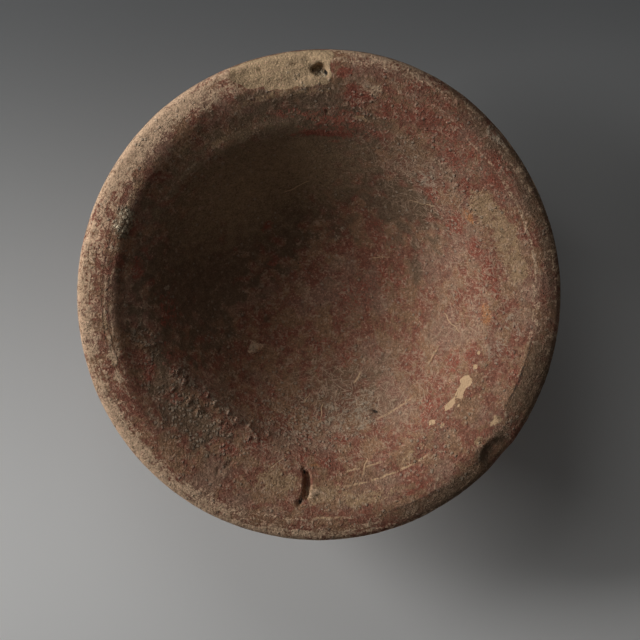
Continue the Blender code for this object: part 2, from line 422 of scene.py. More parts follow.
# Colours of the surface, linear
SLIP = (0.290, 0.106, 0.066, 1.0)
BROWN = (0.350, 0.190, 0.105, 1.0)
MAUVE = (0.345, 0.205, 0.140, 1.0)
PALE_SPECK = (0.640, 0.380, 0.260, 1.0)
DARK_SPECK = (0.105, 0.050, 0.032, 1.0)
RED = (0.285, 0.078, 0.048, 1.0)
TAN = (0.430, 0.275, 0.150, 1.0)
BARE_CLAY = (0.680, 0.465, 0.300, 1.0)
SPALL_CLAY = (0.560, 0.385, 0.225, 1.0)
# Soil colour, also used as painted shade on the shaded left and upper walls
SOIL_AND_SHADE = (0.160, 0.103, 0.061, 1.0)
OLIVE = (0.390, 0.265, 0.150, 1.0)
CRUST_GRAIN = (0.720, 0.590, 0.410, 1.0)
LIME = (0.470, 0.370, 0.270, 1.0)
FIBRE = (0.540, 0.365, 0.245, 1.0)
CREAM = (0.720, 0.475, 0.275, 1.0)
ORANGE = (0.520, 0.220, 0.090, 1.0)
# Dark colour of dirt, also painted as shade in the gouge and the pits
DIRT_AND_SHADE = (0.030, 0.024, 0.018, 1.0)


# Layers of colour over the slip and its soil, lowest first
SLIP_LAYERS = (("red", RED), ("tan", TAN), ("orange", ORANGE), ("worn", BARE_CLAY), ("bare", SPALL_CLAY))

# How each mask shows: its value where it starts and where it is full, how ragged and how streaky it is, share
MASK_SHOWS = {
    "soil_and_shade": (0.1, 0.9, 0.6, 0.0, 0.92),
    "red": (0.2, 0.8, 0.9, 0.0, 0.92),
    "tan": (0.1, 0.8, 0.8, 0.0, 0.90),
    "orange": (0.0, 0.8, 0.6, 0.0, 0.85),
    "worn": (0.25, 0.90, 1.0, 2.0, 0.92),
    "bare": (0.4, 0.6, 0.3, 0.0, 1.0),
    "lime": (0.4, 0.8, 1.4, 0.0, 0.6),
    "crust": (0.4, 0.7, 0.5, 0.0, 1.0),
    "cream": (0.45, 0.6, 0.5, 0.0, 1.0),
    "pit_shade_and_dirt": (0.35, 0.9, 0.3, 0.0, 1.0),
}
MASK_EDGE = (0.02, 0.2)

# Grain of the clay: sizes of its cells, and the size, detail and roughness of its noises
GRAIN_SIZE = 0.5
CRUMB_SIZE = 1.05
FINE_NOISE = (0.42, 2.0, 0.75)
OTHER_NOISE = (0.75, 3.0, 0.7)
MIDDLE_NOISE = (2.4, 5.0, 0.75)
BROAD_NOISE = (6.5, 6.0, 0.7)
WIDE_NOISE = (17.0, 5.0, 0.65)
STROKE_NOISE = (1.0, 3.0, 0.6)
STROKE_SIZE = (11.0, 1.0)  # length and width of the strokes left by turning
RAGGED_BY_MIDDLE = 3.4
RAGGED_BY_TONE = 0.6

# Curled flecks: size of the curls of each layer and a shift that makes it differ, then the noise's detail and
# roughness, the spacing of the parts that show, and the noise's values at the edges of flecks and parts
FLECK_LAYERS = ((1.5, 31.0), (2.2, 57.0))
FLECK_NOISE = (1.0, 0.5)
FLECK_SPACING = 1.2
FLECK_EDGE = (0.080, 0.030)
FLECK_PARTS = (0.50, 0.58)

# Pale fibres: turn, length and width of each layer, then the noise, its winding, and its values at an edge
FIBRE_LAYERS = ((12.0, 3.4, 0.42), (58.0, 2.6, 0.38), (103.0, 3.8, 0.44), (147.0, 3.0, 0.40))
FIBRE_NOISE = (1.0, 1.0, 0.4)
FIBRE_WINDING = 0.35
FIBRE_EDGE = (0.61, 0.72)

# Specks: size of the cells, size of the specks, share of the cells that have one
WHITE_SPECKS = (5.0, 0.7, 0.25)
PORES = (3.6, 0.6, 0.3)

# Where something starts and where it is full, as values of what it follows
GRAIN_BODY = (0.85, 0.25)
CRUMB_BODY = (0.62, 0.30)
CRYSTAL_BODY = (0.80, 0.40)
BROWN_SHOWS = (0.44, 0.56)
MAUVE_SHOWS = (0.48, 0.60)
DARK_SHOWS = (0.46, 0.34)
FLECKS_SHOW = (0.42, 0.62)
PALE_SHOWS = (0.40, 0.60)
STROKES_SHOW = (0.60, 0.70)
CRUMBS_SHOW = (-0.05, 0.05)
LINES_SHOW = (0.35, 0.55)
FREE_OF_SOIL_AND_SHADE = (1.2, 0.3)
TURNED_RADII = (44.0, 60.0)

# Shares that grow with what they follow: how much they grow, and where they start
DARK_SHARE = (0.40, 0.12)
FLECK_SHARE = (0.62, 0.14)
PALE_SHARE = (0.65, 0.10)
FIBRE_SHARE = (0.9, 0.1)
CRUMB_SHARE = (0.85, 0.05)
CRYSTAL_SHARE = (0.5, 0.5)
ROUGHNESS = (0.2, 0.78)

# How far a layer covers what is under it
MAUVE_COVER = 0.65
FIBRE_COVER = 0.7
STROKE_COVER = 0.4
CRUMB_COVER = 0.55
CRUST_COVER = 0.95
SCRATCH_COVER = 0.75
PORE_COVER = 0.8

PALE_TONE = 0.86  # grains with a higher tone than this are pale
SPECULAR = 0.3

# How much each part of the grain adds to the brightness, and to the height of the finest relief
BRIGHTNESS = {"tone": 0.30, "body": 0.25, "fine": 0.95, "middle": 1.10, "strokes": 0.25}
BRIGHTNESS_LEVEL = -0.475
FINEST_RELIEF = {
    "fine": 0.16,
    "middle": 0.50,
    "body": 0.04,
    "strokes": 0.12,
    "flecks": 0.08,
    "crumbs": 0.30,
    "crusted": 0.45,
    "gritty": 0.45,
    "pores": -0.12,
    "fibres": -0.05,
}

# Thin lines: shares of their half width where they fade, and of their half length where they are still full
LINE_SIDES = (1.6, 0.5)
RING_LINE_FULL = 0.8
SCRATCH_FULL = 0.6
SCRATCH_WANDER = (4.0, 1.0)  # size of the swells that a scratch follows, and how far it strays
RING_LINE_WANDER = 1.6

# The studio, in metres and watts
MIDDLE = Vector((0.0003, -0.008, 0.030))
CAMERA_TILT = 9.3
CAMERA_DISTANCE = 0.90
CAMERA_LENS = 163.5  # millimetres, as is the sensor
SENSOR_WIDTH = 36.0
KEY_LIGHT = {"angle": 160.0, "elevation": 18.5, "distance": 0.85, "size": 0.38, "power": 6.2}
UPPER_FILL = {"angle": 108.0, "elevation": 30.0, "distance": 1.0, "size": 0.6, "power": 1.4}
LOWER_FILL = {"angle": 272.0, "elevation": 32.0, "distance": 1.0, "size": 0.6, "power": 0.38}
WORLD_COLOUR = (1.0, 0.985, 0.96, 1.0)
WORLD_STRENGTH = 0.026
FLOOR_SIZE = 12.0
FLOOR_DROP = 0.0002  # the floor lies this much lower than the base, so that the two don't flicker
# The floor goes from pale in front to darker behind: painted shade, in place of light falling off across it
FLOOR_PALE = (0.86, 0.855, 0.84, 1.0)
FLOOR_PAINTED_SHADE = (0.135, 0.14, 0.143, 1.0)
FLOOR_SHADE_FADE = 110.0  # millimetres before and behind the bowl between which the floor deepens
FLOOR_ROUGHNESS = 0.9

Grid = namedtuple("Grid", "angles radii heights out_r out_z on_top faces")


def through_the_wall(radius, height, heading):
    """The point of the outer side that lies square across the wall from a point of the inner side."""
    square = math.radians(heading - 90.0)
    return radius + WALL_THICKNESS * math.cos(square), height + WALL_THICKNESS * math.sin(square)


def stations():
    """Where the profile's curves meet, as radius, height, heading and the spacing of the rings up to it."""
    ridge_height = HEIGHT - RIDGE_DROP
    half_ridge = RIDGE_WIDTH / 2
    inner_ridge = (
        RIDGE_RADIUS - half_ridge,
        ridge_height - half_ridge * math.tan(math.radians(WALL_HEADING)),
    )
    outer_ridge = (
        RIDGE_RADIUS + half_ridge,
        ridge_height + half_ridge * math.tan(math.radians(SHELF_HEADING)),
    )
    lip_edge = (RIM_RADIUS - LIP_WIDTH, HEIGHT - LIP_EDGE_DROP)
    lip_top = lip_edge[0] + LIP_EDGE_WIDTH
    under_lip = through_the_wall(*lip_edge, SHELF_HEADING)
    under_ridge = through_the_wall(*inner_ridge, WALL_HEADING)
    return (
        (0.0, FLOOR_THICKNESS, 0.0, FLOOR_RING),
        (FLOOR_RADIUS, FLOOR_THICKNESS + FLOOR_RISE, FLOOR_HEADING, FLOOR_RING),
        (*inner_ridge, WALL_HEADING, WALL_RING),
        (*outer_ridge, SHELF_HEADING, WALL_RING),
        (*lip_edge, LIP_EDGE_HEADING, WALL_RING),
        (lip_top, HEIGHT, 0.0, LIP_RING),
        (lip_top + LIP_FACE_WIDTH, HEIGHT - LIP_FACE_DROP, LIP_FACE_HEADING, LIP_RING),
        (RIM_RADIUS, HEIGHT - LIP_DEPTH, -90.0, LIP_RING),
        (*under_lip, UNDER_LIP_HEADING, OUTER_RING),
        (*under_ridge, OUTER_WALL_HEADING, OUTER_RING),
        (BASE_RADIUS + FOOT_ROUNDING, FOOT_ROUNDING, FOOT_HEADING, OUTER_RING),
        (BASE_RADIUS, 0.0, -180.0, LIP_RING),
        (0.0, 0.0, -180.0, BASE_RING),
    )


def curve_between(start, end, steps):
    """Points after start up to end on a curve that keeps both headings, and is an arc where it can be."""
    (x0, z0, heading0, _), (x1, z1, heading1, _) = start, end
    turn = math.radians(heading1 - heading0)
    reach = math.dist((x0, z0), (x1, z1)) / math.cos(turn / 4) ** 2
    t = np.arange(1, steps + 1)[:, None] / steps
    leave = reach * np.array([math.cos(math.radians(heading0)), math.sin(math.radians(heading0))])
    arrive = reach * np.array([math.cos(math.radians(heading1)), math.sin(math.radians(heading1))])
    return (
        (2 * t**3 - 3 * t**2 + 1) * np.array([x0, z0])
        + (t**3 - 2 * t**2 + t) * leave
        + (3 * t**2 - 2 * t**3) * np.array([x1, z1])
        + (t**3 - t**2) * arrive
    )


def bowl_profile():
    """The rings' radii and heights, and how many of them lie before the lip's outermost point."""
    meets = stations()
    runs = [np.array([meets[0][:2]])]
    for start, end in zip(meets, meets[1:]):
        steps = max(1, round(math.dist(start[:2], end[:2]) / end[3]))
        runs.append(curve_between(start, end, steps))
    points = np.vstack(runs)
    return points, int(np.argmax(points[:, 0])) + 1


def degrees_between(angles, middle):
    """Signed differences from an angle, between -180 and 180."""
    return (angles - middle + 180.0) % 360.0 - 180.0


def smooth_share(values):
    """0 below 0, 1 above 1, and a smooth rise between them."""
    t = np.clip(values, 0.0, 1.0)
    return t * t * (3 - 2 * t)


def bell(angles, middle, half_width):
    return np.exp(-((degrees_between(angles, middle) / half_width) ** 2))


def surface_place(upper, share):
    """Radius, height and outward direction of the upper side at a share of the rim's radius."""
    radius = share * RIM_RADIUS
    height = np.interp(radius, upper[:, 0], upper[:, 1])
    lean = np.interp(radius, upper[:, 0], np.gradient(upper[:, 1], upper[:, 0]))
    length = math.hypot(1.0, lean)
    return radius, height, (-lean / length, 1.0 / length)


def ring_shift(angles, radii, shifts, circle, reach):
    """How far a line of the form wanders from its circle, fading out to both sides of it."""
    wander = sum(size * bell(angles, middle, width) for middle, width, size in shifts)
    return wander * (1.0 - smooth_share(np.abs(radii - circle) / reach))


def mouth_stretch(angles, radii):
    middle, width, size = SWELL
    around = -OVAL * np.cos(np.radians(2 * angles)) + size / RIM_RADIUS * bell(angles, middle, width)
    return around * (radii / RIM_RADIUS) ** FADE_POWER


def rim_wave(angles, heights):
    wave = sum(size * np.cos(np.radians(count * (angles - crest))) for count, crest, size in RIM_WAVES)
    return wave * (np.clip(heights, 0.0, None) / HEIGHT) ** FADE_POWER


def worn_depth(place, upper, angles, radii, heights):
    """Depth of one worn place at each point, and the direction it is worn from."""
    angle, share, length, width, depth = place
    radius, height, outward = surface_place(upper, share)
    around = np.radians(degrees_between(angles, angle)) * radius / (length / 2)
    across = np.hypot(radii - radius, heights - height) / (width / 2)
    return depth * smooth_share((1.0 - np.hypot(around, across)) / SHOULDER), outward


def cut_depth(place, upper, angles, radii, heights):
    """Depth of a cut place, round-bottomed with a sharp edge, and the direction it is cut from."""
    angle, share, length, width, depth, twist = place
    radius, height, outward = surface_place(upper, share)
    around = np.radians(degrees_between(angles, angle)) * radius
    across = np.hypot(radii - radius, heights - height) * np.sign(radii - radius)
    turn = math.radians(twist)
    along = (around * math.cos(turn) - across * math.sin(turn)) / (length / 2)
    out = (around * math.sin(turn) + across * math.cos(turn)) / (width / 2)
    return depth * np.sqrt(np.clip(1.0 - along**2 - out**2, 0.0, 1.0)), outward


def shaped_by_hand(grid, upper):
    """The grid's points moved from the true turned form to the worn and uneven form, as x, y and z."""
    moved_radii = grid.radii.copy()
    moved_heights = grid.heights.copy()
    made = [worn_depth(place, upper, grid.angles, grid.radii, grid.heights) for place in WORN_PLACES]
    made += [cut_depth(place, upper, grid.angles, grid.radii, grid.heights) for place in CUT_PLACES]
    for depth, (out_r, out_z) in made:
        moved_radii -= depth * out_r
        moved_heights -= depth * out_z
    moved_radii += ring_shift(grid.angles, grid.radii, RIDGE_SHIFTS, RIDGE_RADIUS, RIDGE_REACH)
    moved_radii += ring_shift(grid.angles, grid.radii, LIP_SHIFTS, RIM_RADIUS - LIP_WIDTH, LIP_REACH)
    moved_radii *= 1.0 + mouth_stretch(grid.angles, grid.radii)
    moved_heights += rim_wave(grid.angles, grid.heights)
    turn = np.radians(grid.angles)
    return np.column_stack((moved_radii * np.cos(turn), moved_radii * np.sin(turn), moved_heights))


def segments_at(radius, upper):
    if radius < CENTRE_ZONE:
        return AROUND // 4
    if radius < HOLLOW_ZONE or not upper:
        return AROUND // 2
    return AROUND


def faces_between(first, count, next_first, next_count):
    """Faces that join one ring to the next, where one may have twice the segments of the other."""
    if count == 1:
        return [(first, next_first + i, next_first + (i + 1) % next_count) for i in range(next_count)]
    if next_count == 1:
        return [(first + i, next_first, first + (i + 1) % count) for i in range(count)]
    if count == next_count:
        pairs = [(i, (i + 1) % count) for i in range(count)]
        return [(first + i, next_first + i, next_first + j, first + j) for i, j in pairs]
    faces = []
    fewer = min(count, next_count)
    coarse, fine = (first, next_first) if count < next_count else (next_first, first)
    for i in range(fewer):
        j = (i + 1) % fewer
        low, middle, high = fine + 2 * i, fine + 2 * i + 1, fine + 2 * j
        made = [(coarse + i, low, middle), (coarse + i, middle, coarse + j), (coarse + j, middle, high)]
        if count > next_count:
            made = [tuple(reversed(face)) for face in made]
        faces.extend(made)
    return faces


def ring_grid(profile, upper_count):
    """The closed body's rings: for each vertex its angle, radius, height and outward direction."""
    tangents = np.gradient(profile, axis=0)
    tangents /= np.linalg.norm(tangents, axis=1)[:, None]
    fine_rings = upper_count + LIP_RINGS_BELOW
    places = enumerate(profile[:, 0])
    counts = [1 if radius < AXIS_REACH else segments_at(radius, ring < fine_rings) for ring, radius in places]
    firsts = np.concatenate(([0], np.cumsum(counts)[:-1])).tolist()
    faces = []
    for ring in range(len(counts) - 1):
        faces.extend(faces_between(firsts[ring], counts[ring], firsts[ring + 1], counts[ring + 1]))
    return Grid(
        angles=np.concatenate([np.arange(count) * 360.0 / count for count in counts]),
        radii=np.repeat(profile[:, 0], counts),
        heights=np.repeat(profile[:, 1], counts),
        out_r=np.repeat(-tangents[:, 1], counts),
        out_z=np.repeat(tangents[:, 0], counts),
        on_top=np.repeat(np.arange(len(counts)) < upper_count, counts).astype(float),
        faces=faces,
    )


def swells(points, width, seed):
    """Smooth noise between -1 and 1 at each point, with swells about this wide."""
    start = NOISE_START * seed
    return np.array([noise.noise(Vector(point) / width + start) for point in points])


def share_from(angles, radii, angle, radius, length, width, turn=0.0):
    """Distance from a place on the bowl as a share of an ellipse, 0 at its middle and 1 at its edge."""
    around = np.radians(degrees_between(angles, angle)) * radius
    across = radii - radius
    cosine, sine = math.cos(math.radians(turn)), math.sin(math.radians(turn))
    along = (around * cosine - across * sine) / (length / 2)
    out = (around * sine + across * cosine) / (width / 2)
    return np.hypot(along, out)


def patches(angles, radii, places, ragged):
    """How far each point lies in soft patches, 0 outside and up to 1, with ragged edges."""
    made = np.zeros_like(radii)
    for *place, strength in places:
        share = share_from(angles, radii, *place)
        made = np.maximum(made, strength * smooth_share(PATCH_REACH - share + PATCH_RAGGEDNESS * ragged))
    return made


def spall_share(angles, radii, ragged):
    """1 on the flaked place of the lip and 0 off it, with a crisp edge."""
    made = np.zeros_like(radii)
    for angle, radius, length, width, power in SPALL_FACES:
        around = np.abs(np.radians(degrees_between(angles, angle)) * radius / (length / 2))
        across = np.abs((radii - radius) / (width / 2))
        place = (around**power + across**power) ** (1 / power)
        made = np.maximum(made, smooth_share((1.0 - place + SPALL_RAGGEDNESS * ragged) / SPALL_EDGE))
    return made


def crumb_places():
    """The place of each crumb of the crumb lines, and its height."""
    chance = random.Random(CRUMB_SEED)
    for angles, radii, count in CRUMB_LINES:
        for _ in range(count):
            angle = chance.uniform(angles[0], angles[-1])
            radius = float(np.interp(angle, angles, radii)) + chance.gauss(0.0, CRUMB_SPREAD)
            width = chance.uniform(*CRUMB_WIDTHS)
            yield (angle, radius, width, width), chance.uniform(*CRUMB_RISES)


def fine_relief(points, angles, radii, on_top, ragged):
    """Height of the fine surface over the worn form at each point."""
    rough = swells(points, *ROUGH_SWELLS)
    coarse = swells(points, *COARSE_SWELLS)
    crumbly = patches(angles, radii, CRUMB_PATCHES, SOIL_AND_SHADE_RAGGEDNESS * ragged)
    upper = GRAIN_RISE * crumbly * np.clip(swells(points, *GRAIN_SWELLS) - GRAIN_START, 0.0, None)
    kinds = (
        (spall_share(angles, radii, ragged), SPALL_RELIEF),
        (lip_zone(angles, radii, BROKEN_LIP_EDGES), BROKEN_RELIEF),
        (crumbly, CRUMBLY_RELIEF),
        (patches(angles, radii, CRUST_PATCHES, ragged), CRUST_RELIEF),
        (patches(angles, radii, CREAM_PATCHES, CREAM_RAGGEDNESS * ragged), FLAKED_RELIEF),
    )
    for share, (level, rough_part, coarse_part) in kinds:
        upper += share * (level + rough_part * rough + coarse_part * coarse)
    for *place, depth in PITS:
        share = share_from(angles, radii, *place) - PIT_RAGGEDNESS * rough
        upper -= depth * np.sqrt(np.clip(1.0 - share**2, 0.0, 1.0))
    for *place, rise in LUMPS:
        share = share_from(angles, radii, *place) - LUMP_RAGGEDNESS * rough
        upper += rise * smooth_share(LUMP_STEEPNESS * (1.0 - share))
    for place, rise in crumb_places():
        share = share_from(angles, radii, *place) - CRUMB_RAGGEDNESS * rough
        upper += rise * smooth_share(CRUMB_STEEPNESS * (1.0 - share))
    everywhere = sum(size * swells(points, width, seed) for seed, (width, size) in enumerate(UNDULATIONS))
    return everywhere + upper * on_top - RELIEF_MARGIN


def lip_lines(angles, radii):
    """How far each point lies in the worn lines along the lip's inner edge."""
    made = np.zeros_like(radii)
    for middle, width, radius, half_width, strength in WORN_LIP_LINES:
        line = np.exp(-(((radii - radius) / half_width) ** 2)) * bell(angles, middle, width)
        made = np.maximum(made, strength * line)
    return made


def lip_zone(angles, radii, edges):
    """How far each point lies in stretches of the lip."""
    made = np.zeros_like(radii)
    for middle, width, start, reach, strength in edges:
        zone = smooth_share((radii - start) / reach) * bell(angles, middle, width)
        made = np.maximum(made, strength * zone)
    return made


def shade_and_dirt_in_pits(angles, radii):
    """How much dirt and painted shade lie in the gouge and in the small pits, darker in deeper pits."""
    angle, share, length, width, _, turn = GOUGE
    off_gouge = share_from(angles, radii, angle, share * RIM_RADIUS, length, width, turn)
    made = GOUGE_SHADE_AND_DIRT * smooth_share((1.0 - off_gouge) / SHADE_AND_DIRT_EDGE)
    for *place, depth in PITS:
        pit_shade_and_dirt = smooth_share((SHADE_AND_DIRT_REACH - share_from(angles, radii, *place)) / SHADE_AND_DIRT_EDGE)
        # Deeper pits get more of the dark: painted shade in the recess
        made = np.maximum(made, pit_shade_and_dirt * min(1.0, depth))
    return made


def crumb_cover(angles, radii, ragged):
    """How densely crumbs lie, and where the ones that stand up are."""
    made = patches(angles, radii, CRUMB_PATCHES, SOIL_AND_SHADE_RAGGEDNESS * ragged)
    for place, _ in crumb_places():
        crumb = smooth_share(CRUMB_COLOUR_STEEPNESS * (1.0 - share_from(angles, radii, *place)))
        made = np.maximum(made, CRUMB_COLOUR_STRENGTH * crumb)
    return made


def surface_masks(angles, radii, on_top, ragged):
    """Where each kind of surface shows on the upper side, by its name; the soil also paints shade on the
    shaded walls inside. Soil lies on the outside too.
    """
    bare = spall_share(angles, radii, ragged)
    slipped = 1.0 - bare
    made = {"bare": bare, "pit_shade_and_dirt": shade_and_dirt_in_pits(angles, radii), "crumbs": crumb_cover(angles, radii, ragged)}
    for name, (places, raggedness, keeps_off_spall) in PATCH_MASKS.items():
        made[name] = patches(angles, radii, places, raggedness * ragged)
        if keeps_off_spall:
            made[name] *= slipped
    worn = np.maximum(lip_lines(angles, radii), lip_zone(angles, radii, WORN_LIP_EDGES))
    # The rubbed places include the lump's pale top, which is partly painted light
    made["worn"] = np.maximum(worn, patches(angles, radii, RUBBED_AND_LIT_PATCHES, ragged)) * slipped
    # Soil, which also paints shade onto the shaded left and upper walls
    soil_and_shade = patches(angles, radii, SOIL_AND_SHADE_PATCHES, SOIL_AND_SHADE_RAGGEDNESS * ragged)
    soiled_lip = lip_zone(angles, radii, BROKEN_LIP_EDGES + SOILED_LIP_EDGES)
    made["soil_and_shade"] = np.maximum(soil_and_shade, soiled_lip) * slipped
    made = {name: values * on_top for name, values in made.items()}
    made["soil_and_shade"] = np.maximum(made["soil_and_shade"], OUTSIDE_SOIL * (1.0 - on_top))
    return made


def polar(angle, radius):
    return radius * math.cos(math.radians(angle)), radius * math.sin(math.radians(angle))


def make_bowl(box):
    profile, upper_count = bowl_profile()
    grid = ring_grid(profile, upper_count)
    points = shaped_by_hand(grid, profile[:upper_count])
    angles = np.degrees(np.arctan2(points[:, 1], points[:, 0])) % 360.0
    radii = np.hypot(points[:, 0], points[:, 1])
    ragged = swells(points, *RAGGED_SWELLS)
    height = fine_relief(points, angles, radii, grid.on_top, ragged)
    turn = np.radians(grid.angles)
    outward = np.column_stack((grid.out_r * np.cos(turn), grid.out_r * np.sin(turn), grid.out_z))
    fine = np.clip((points + height[:, None] * outward) * METRES, box[0], box[1])
    mesh = bpy.data.meshes.new("worn_bowl")
    mesh.from_pydata(fine.tolist(), [], grid.faces)
    mesh.update()
    mesh.shade_smooth()
    for name, values in surface_masks(angles, radii, grid.on_top, ragged).items():
        mesh.attributes.new(name, "FLOAT", "POINT").data.foreach_set("value", values.astype(np.float32))
    bowl = bpy.data.objects.new("worn_bowl", mesh)
    bpy.context.scene.collection.objects.link(bowl)
    return bowl


class Painter:
    """Makes a material's nodes, with sizes in millimetres and the places of a bowl seen from above."""

    def __init__(self, material):
        material.use_nodes = True
        self.nodes = material.node_tree.nodes
        self.links = material.node_tree.links
        self.shader = self.nodes["Principled BSDF"]
        self.place = self.scaled(self.node("TexCoord").outputs["Object"], 1.0 / METRES)
        self.wavy = self.shaken(*SCRATCH_WANDER)

    def feed(self, socket, value):
        if isinstance(value, bpy.types.NodeSocket):
            self.links.new(value, socket)
        else:
            socket.default_value = value

    def node(self, kind, inputs=None, **settings):
        """A new node of this kind with these settings, and with its inputs fed by name or number."""
        made = self.nodes.new("ShaderNode" + kind)
        for name, value in settings.items():
            setattr(made, name, value)
        for name, value in (inputs or {}).items():
            self.feed(made.inputs[name], value)
        return made

    def vector(self, operation, *inputs):
        return self.node("VectorMath", dict(enumerate(inputs)), operation=operation).outputs["Vector"]

    def scaled(self, vector, size):
        return self.node("VectorMath", {0: vector, "Scale": size}, operation="SCALE").outputs["Vector"]

    def stretched(self, turn, along, across):
        """The place, turned and squeezed so that a noise of size 1 becomes this long and wide."""
        turns = (0.0, 0.0, math.radians(turn))
        inputs = {"Vector": self.place, "Rotation": turns, "Scale": (along, across, along)}
        return self.node("Mapping", inputs, vector_type="TEXTURE").outputs["Vector"]

    def flat(self, vector, direction):
        """Distance along a direction."""
        return self.node("VectorMath", {0: vector, 1: direction}, operation="DOT_PRODUCT").outputs["Value"]

    def result(self, operation, first, second=0.0):
        return self.node("Math", {0: first, 1: second}, operation=operation).outputs["Value"]

    def times(self, first, second):
        return self.result("MULTIPLY", first, second)

    def plus(self, first, second):
        return self.result("ADD", first, second)

    def minus(self, first, second):
        return self.result("SUBTRACT", first, second)

    def rise(self, value, low, high):
        """0 where a value is low and 1 where it is high, or the other way round."""
        inputs = {"Value": value, "From Min": low, "From Max": high}
        return self.node("MapRange", inputs, interpolation_type="SMOOTHSTEP").outputs["Result"]

    def noise(self, size, detail, roughness=0.5, at=None, distortion=0.0):
        """A noise node with swells of this size."""
        inputs = {"Vector": at or self.place, "Scale": 1.0 / size, "Detail": detail}
        inputs.update({"Roughness": roughness, "Distortion": distortion})
        return self.node("TexNoise", inputs)

    def cloud(self, *shape):
        """Values of a noise, around 0.5."""
        return self.noise(*shape).outputs["Fac"]

    def cells(self, size, at=None):
        """Cells of this size: a random tone between 0 and 1 for each, and the distance from its middle."""
        cell = self.node("TexVoronoi", {"Vector": at or self.place, "Scale": 1.0 / size})
        return self.flat(cell.outputs["Color"], (1.0, 0.0, 0.0)), cell.outputs["Distance"]

    def specks(self, cell, size, share):
        """Round specks of this size in a share of the cells."""
        tone, distance = self.cells(cell)
        radius = size / cell / 2
        return self.times(self.result("LESS_THAN", tone, share), self.rise(distance, radius, radius / 2))

    def moved(self, shift):
        """The place, moved so that a noise there is another one."""
        return self.vector("ADD", self.place, (shift, -shift, shift))

    def shaken(self, size, reach):
        """The place, moved about by up to this reach over swells of this size."""
        colour = self.noise(size, 1.0).outputs["Color"]
        both = self.vector("MULTIPLY_ADD", colour, (2.0 * reach,) * 3, self.place)
        return self.vector("SUBTRACT", both, (reach,) * 3)

    def circling(self, along, across):
        """A place whose noise of size 1 is stretched along circles about the axis, and the radius."""
        level = self.vector("MULTIPLY", self.place, (1.0, 1.0, 0.0))
        radius = self.node("VectorMath", {0: level}, operation="LENGTH").outputs["Value"]
        lift = self.node("CombineXYZ", {"Z": self.times(radius, 1.0 / across)}).outputs["Vector"]
        around = self.scaled(self.vector("NORMALIZE", level), RIM_RADIUS / along)
        return self.vector("ADD", around, lift), radius

    def mask(self, name):
        return self.node("Attribute", attribute_name=name).outputs["Fac"]

    def blend(self, under, over, share):
        return self.node("Mix", {"Factor": share, 6: under, 7: over}, data_type="RGBA").outputs[2]

    def layered(self, colour, layers):
        """The colour under layers, lowest first: for each its colour and how far it covers."""
        for over, share in layers:
            colour = self.blend(colour, over, share)
        return colour

    def swing(self, value, size):
        """A noise around 0.5, made into one around 0 that swings this many times as far."""
        return self.times(self.minus(value, 0.5), size)

    def grown(self, value, growth, start):
        return self.plus(self.times(value, growth), start)

    def sum_of(self, parts, shares):
        """The sum of shares of the parts, both by name."""
        total = 0.0
        for name, share in shares.items():
            total = self.plus(total, self.times(parts[name], share))
        return total

    def thin_line(self, off_line, half_width):
        """1 on a line and 0 off it, from the distance to either side of it."""
        outside, inside = LINE_SIDES
        return self.rise(self.result("ABSOLUTE", off_line), half_width * outside, half_width * inside)

    def ring_line(self, radius_here, radius, half_width, middle, half_length):
        """A thin circular line of a given radius over a range of angles."""
        line = self.thin_line(self.minus(radius_here, radius), half_width)
        facing = self.result("DIVIDE", self.flat(self.place, (*polar(middle, 1.0), 0.0)), radius_here)
        edge = math.cos(math.radians(half_length))
        full = math.cos(math.radians(half_length * RING_LINE_FULL))
        return self.times(line, self.rise(facing, edge, full))

    def scratch(self, start, end, half_width):
        """A thin winding line between two places."""
        (x0, y0), (x1, y1) = start, end
        length = math.dist(start, end)
        along = ((x1 - x0) / length, (y1 - y0) / length, 0.0)
        across = (-along[1], along[0], 0.0)
        passed = self.minus(self.flat(self.wavy, along), x0 * along[0] + y0 * along[1])
        off_line = self.minus(self.flat(self.wavy, across), x0 * across[0] + y0 * across[1])
        off_middle = self.result("ABSOLUTE", self.minus(passed, length / 2))
        ends = self.rise(off_middle, length / 2, length / 2 * SCRATCH_FULL)
        return self.times(ends, self.thin_line(off_line, half_width))


def fibre_layers(paint):
    """Fine pale scratches that lie in all directions, and wind a little."""
    made = 0.0
    for turn, length, width in FIBRE_LAYERS:
        noise_place = paint.stretched(turn, length, width)
        streaks = paint.rise(paint.cloud(*FIBRE_NOISE, noise_place, FIBRE_WINDING), *FIBRE_EDGE)
        made = paint.result("MAXIMUM", made, streaks)
    return made


def curly_flecks(paint):
    """Short thin lines that curl, as on flaking slip."""
    made = 0.0
    for size, shift in FLECK_LAYERS:
        curls = paint.cloud(size, *FLECK_NOISE, paint.moved(shift))
        line = paint.rise(paint.result("ABSOLUTE", paint.minus(curls, 0.5)), *FLECK_EDGE)
        part = paint.rise(paint.cloud(size * FLECK_SPACING, *FLECK_NOISE, paint.moved(-shift)), *FLECK_PARTS)
        made = paint.result("MAXIMUM", made, paint.times(line, part))
    return made


def shows(paint, grain, name):
    """How far a mask shows, with the ragged and streaky edges of its kind."""
    low, high, raggedness, streaks, share = MASK_SHOWS[name]
    moved = paint.plus(paint.mask(name), paint.times(grain["ragged"], raggedness))
    moved = paint.plus(moved, paint.swing(grain["strokes"], streaks))
    shown = paint.times(paint.rise(moved, low, high), paint.rise(paint.mask(name), *MASK_EDGE))
    return paint.times(shown, share)


